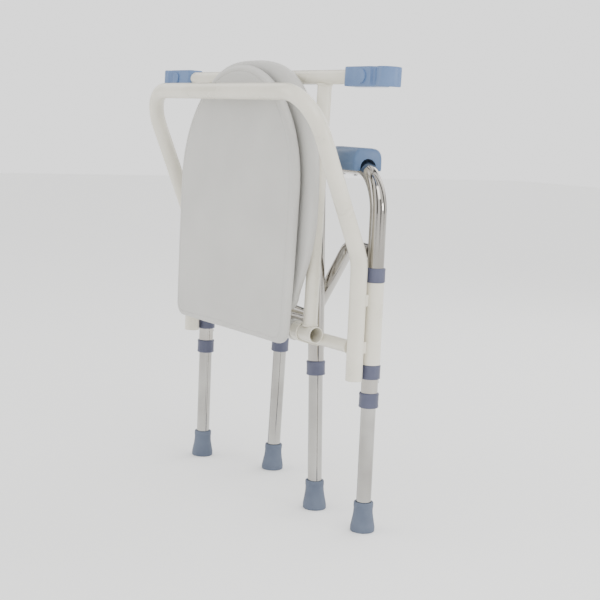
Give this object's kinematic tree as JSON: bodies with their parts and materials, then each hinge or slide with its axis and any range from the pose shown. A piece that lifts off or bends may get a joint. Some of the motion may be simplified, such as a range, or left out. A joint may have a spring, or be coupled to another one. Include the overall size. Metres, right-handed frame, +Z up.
{
  "type": "folding shower chair",
  "caption": "Folding shower and commode chair, folded for storage, with swinging armrest side frames, folding lidded seat and telescoping legs with rubber feet.",
  "frame": {"origin": "on the floor, under the middle of the folded chair", "axes": "+Z up, +X along the folded width to the chair's left, -Y towards the chair's front"},
  "size_m": [0.751, 0.2592, 0.7996],
  "materials": {
    "cream_paint": "semi-gloss powder coat",
    "stainless_tube": "polished",
    "lower_tube": "polished",
    "slate_plastic": "satin moulded",
    "blue_plastic": "satin moulded",
    "blue_pad": "fine grained",
    "foot_rubber": "matte",
    "seat_foam": "matte, closed-cell foam skin",
    "white_plastic": "satin moulded",
    "small_steel": "plain"
  },
  "bodies": {
    "back_frame": {"back_crossbar": "cream_paint", "back_hoop": "cream_paint", "hinge_sleeve_left": "cream_paint", "hinge_sleeve_right": "cream_paint", "pivot_bracket_left": "cream_paint", "pivot_bracket_right": "cream_paint", "sleeve_collar_bottom_left": "slate_plastic", "sleeve_collar_bottom_right": "slate_plastic", "sleeve_collar_top_left": "slate_plastic", "sleeve_collar_top_right": "slate_plastic"},
    "seat_frame": {"clip_bar": "cream_paint", "clip_cap_left": "blue_plastic", "clip_cap_right": "blue_plastic", "hinge_block_left": "white_plastic", "hinge_block_right": "white_plastic", "hinge_pin_left": "small_steel", "hinge_pin_right": "small_steel", "rail_clip_left": "blue_plastic", "rail_clip_right": "blue_plastic", "seat_pivot_tube": "cream_paint", "seat_rail_left": "cream_paint", "seat_rail_right": "cream_paint"},
    "seat_ring": {"seat_ring": "seat_foam"},
    "seat_lid": {"seat_lid": "seat_foam"},
    "side_frame_left": {"armrest_pad_left": "blue_pad", "leg_collar_front_left": "slate_plastic", "leg_collar_rear_left": "slate_plastic", "pad_screw_front_left": "small_steel", "pad_screw_rear_left": "small_steel", "side_frame_tube_left": "stainless_tube", "side_rail_left": "stainless_tube"},
    "lower_leg_rear_left": {"lower_leg_rear_left": "lower_tube", "foot_rear_left": "foot_rubber"},
    "button_rear_left": {"spring_button_rear_left": "small_steel"},
    "lower_leg_front_left": {"lower_leg_front_left": "lower_tube", "foot_front_left": "foot_rubber"},
    "button_front_left": {"spring_button_front_left": "small_steel"},
    "side_frame_right": {"armrest_pad_right": "blue_pad", "leg_collar_front_right": "slate_plastic", "leg_collar_rear_right": "slate_plastic", "pad_screw_front_right": "small_steel", "pad_screw_rear_right": "small_steel", "side_frame_tube_right": "stainless_tube", "side_rail_right": "stainless_tube"},
    "lower_leg_rear_right": {"lower_leg_rear_right": "lower_tube", "foot_rear_right": "foot_rubber"},
    "button_rear_right": {"spring_button_rear_right": "small_steel"},
    "lower_leg_front_right": {"lower_leg_front_right": "lower_tube", "foot_front_right": "foot_rubber"},
    "button_front_right": {"spring_button_front_right": "small_steel"}
  },
  "joints": [
    {"name": "seat_fold", "type": "hinge", "parent": "back_frame", "child": "seat_frame", "pos_m": [0, 0.03004, 0.333], "axis": [1, 0, 0], "range_deg": [0, 2.5]},
    {"name": "lid_hinge", "type": "hinge", "parent": "seat_frame", "child": "seat_lid", "pos_m": [0, 0.05885, 0.34261], "axis": [-1, 0, 0], "range_deg": [0, 2.5]},
    {"name": "ring_hinge", "type": "hinge", "parent": "seat_frame", "child": "seat_ring", "pos_m": [0, 0.05885, 0.34261], "axis": [-1, 0, 0], "range_deg": [0, 0.5]},
    {"name": "side_swing_left", "type": "hinge", "parent": "back_frame", "child": "side_frame_left", "pos_m": [0.28, -0.03296, 0.3], "axis": [0, 0, 1], "range_deg": [0, 41.5]},
    {"name": "leg_slide_rear_left", "type": "slide", "parent": "side_frame_left", "child": "lower_leg_rear_left", "axis": [0, 0, 1], "range_m": [-0.063, 0.126]},
    {"name": "button_press_rear_left", "type": "slide", "parent": "side_frame_left", "child": "button_rear_left", "axis": [0, 1, 0], "range_m": [0, 0.0024], "stiffness_N_per_m": 300},
    {"name": "leg_slide_front_left", "type": "slide", "parent": "side_frame_left", "child": "lower_leg_front_left", "axis": [0.0599, 0, 0.9982], "range_m": [-0.063, 0.126]},
    {"name": "button_press_front_left", "type": "slide", "parent": "side_frame_left", "child": "button_front_left", "axis": [0, 1, 0], "range_m": [0, 0.0024], "stiffness_N_per_m": 300},
    {"name": "side_swing_right", "type": "hinge", "parent": "back_frame", "child": "side_frame_right", "pos_m": [-0.28, -0.03296, 0.3], "axis": [0, 0, -1], "range_deg": [0, 90]},
    {"name": "leg_slide_rear_right", "type": "slide", "parent": "side_frame_right", "child": "lower_leg_rear_right", "axis": [0, 0, 1], "range_m": [-0.063, 0.126]},
    {"name": "button_press_rear_right", "type": "slide", "parent": "side_frame_right", "child": "button_rear_right", "axis": [0.1822, 0.9833, 0], "range_m": [0, 0.0024], "stiffness_N_per_m": 300},
    {"name": "leg_slide_front_right", "type": "slide", "parent": "side_frame_right", "child": "lower_leg_front_right", "axis": [-0.0589, 0.0109, 0.9982], "range_m": [-0.063, 0.126]},
    {"name": "button_press_front_right", "type": "slide", "parent": "side_frame_right", "child": "button_front_right", "axis": [0.1822, 0.9833, 0], "range_m": [0, 0.0024], "stiffness_N_per_m": 300}
  ],
  "couplings": [
    {"joint": "side_swing_left", "follows": "side_swing_right", "ratio": 0.46}
  ]
}
